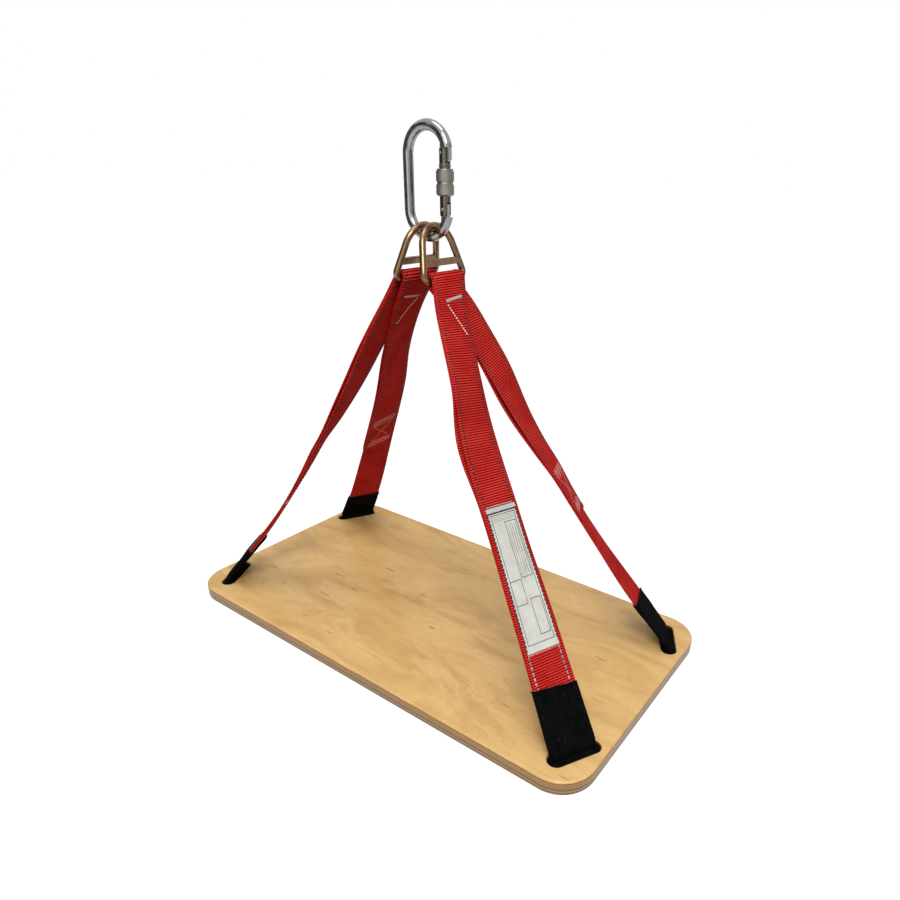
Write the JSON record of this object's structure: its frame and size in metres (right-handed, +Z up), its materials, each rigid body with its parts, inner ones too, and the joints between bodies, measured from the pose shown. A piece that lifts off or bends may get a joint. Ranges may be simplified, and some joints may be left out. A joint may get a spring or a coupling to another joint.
{
  "type": "bosun's chair",
  "caption": "Plywood seat for work aloft, hung on two webbing slings whose forged rings meet in a screw lock carabiner, with wear sleeves where the webbing passes through the seat.",
  "frame": {"origin": "the hang point, inside the top of the carabiner, where an anchor bears", "axes": "+Z up, X along the seat's long side with the carabiner's gate towards +X, Y across the seat"},
  "size_m": [0.6, 0.32, 0.5847],
  "materials": {
    "plywood": "clear coated pine plywood",
    "webbing": "ribbed red webbing",
    "sleeve_fabric": "black woven tube",
    "label_fabric": "white woven tape",
    "zinc_steel": "forged steel with yellow zinc plating",
    "polished_steel": "bright plated steel",
    "sleeve_steel": "bright plated steel with grip bands",
    "pin_steel": "plain steel"
  },
  "bodies": {
    "carabiner": {"carabiner_body": "polished_steel"},
    "gate": {"carabiner_gate": "polished_steel", "gate_hinge_pin": "pin_steel", "gate_latch_pin": "pin_steel", "gate_spring": "pin_steel"},
    "plunger": {"gate_plunger": "pin_steel"},
    "lock_sleeve": {"screw_sleeve": "sleeve_steel"},
    "seat": {"seat_board": "plywood", "webbing_leg_front": "webbing", "webbing_leg_right": "webbing", "webbing_leg_left": "webbing", "webbing_leg_back": "webbing", "webbing_under_front_back": "webbing", "webbing_under_left_right": "webbing", "wear_sleeve_front": "sleeve_fabric", "wear_sleeve_right": "sleeve_fabric", "wear_sleeve_left": "sleeve_fabric", "wear_sleeve_back": "sleeve_fabric", "identity_label": "label_fabric", "dee_ring_right": "zinc_steel", "dee_ring_left": "zinc_steel"}
  },
  "joints": [
    {"name": "gate_hinge", "type": "hinge", "parent": "carabiner", "child": "gate", "pos_m": [0.022, 0, -0.068], "axis": [0, -1, 0], "range_deg": [0, 25], "stiffness_Nm_per_rad": 0.4, "springref_deg": -34.38},
    {"name": "sleeve_slide", "type": "slide", "parent": "gate", "child": "lock_sleeve", "axis": [0, 0, 1], "range_m": [0, 0.012]},
    {"name": "plunger_slide", "type": "slide", "parent": "gate", "child": "plunger", "axis": [0, 0, 1], "range_m": [0, 0.0014], "deforming": ["gate_spring"]},
    {"name": "seat_swing", "type": "hinge", "parent": "carabiner", "child": "seat", "pos_m": [0, 0, -0.09425], "axis": [1, 0, 0], "range_deg": [-35, 35]}
  ],
  "couplings": [
    {"joint": "plunger_slide", "follows": "gate_hinge", "m_per_rad": 0.0032}
  ]
}
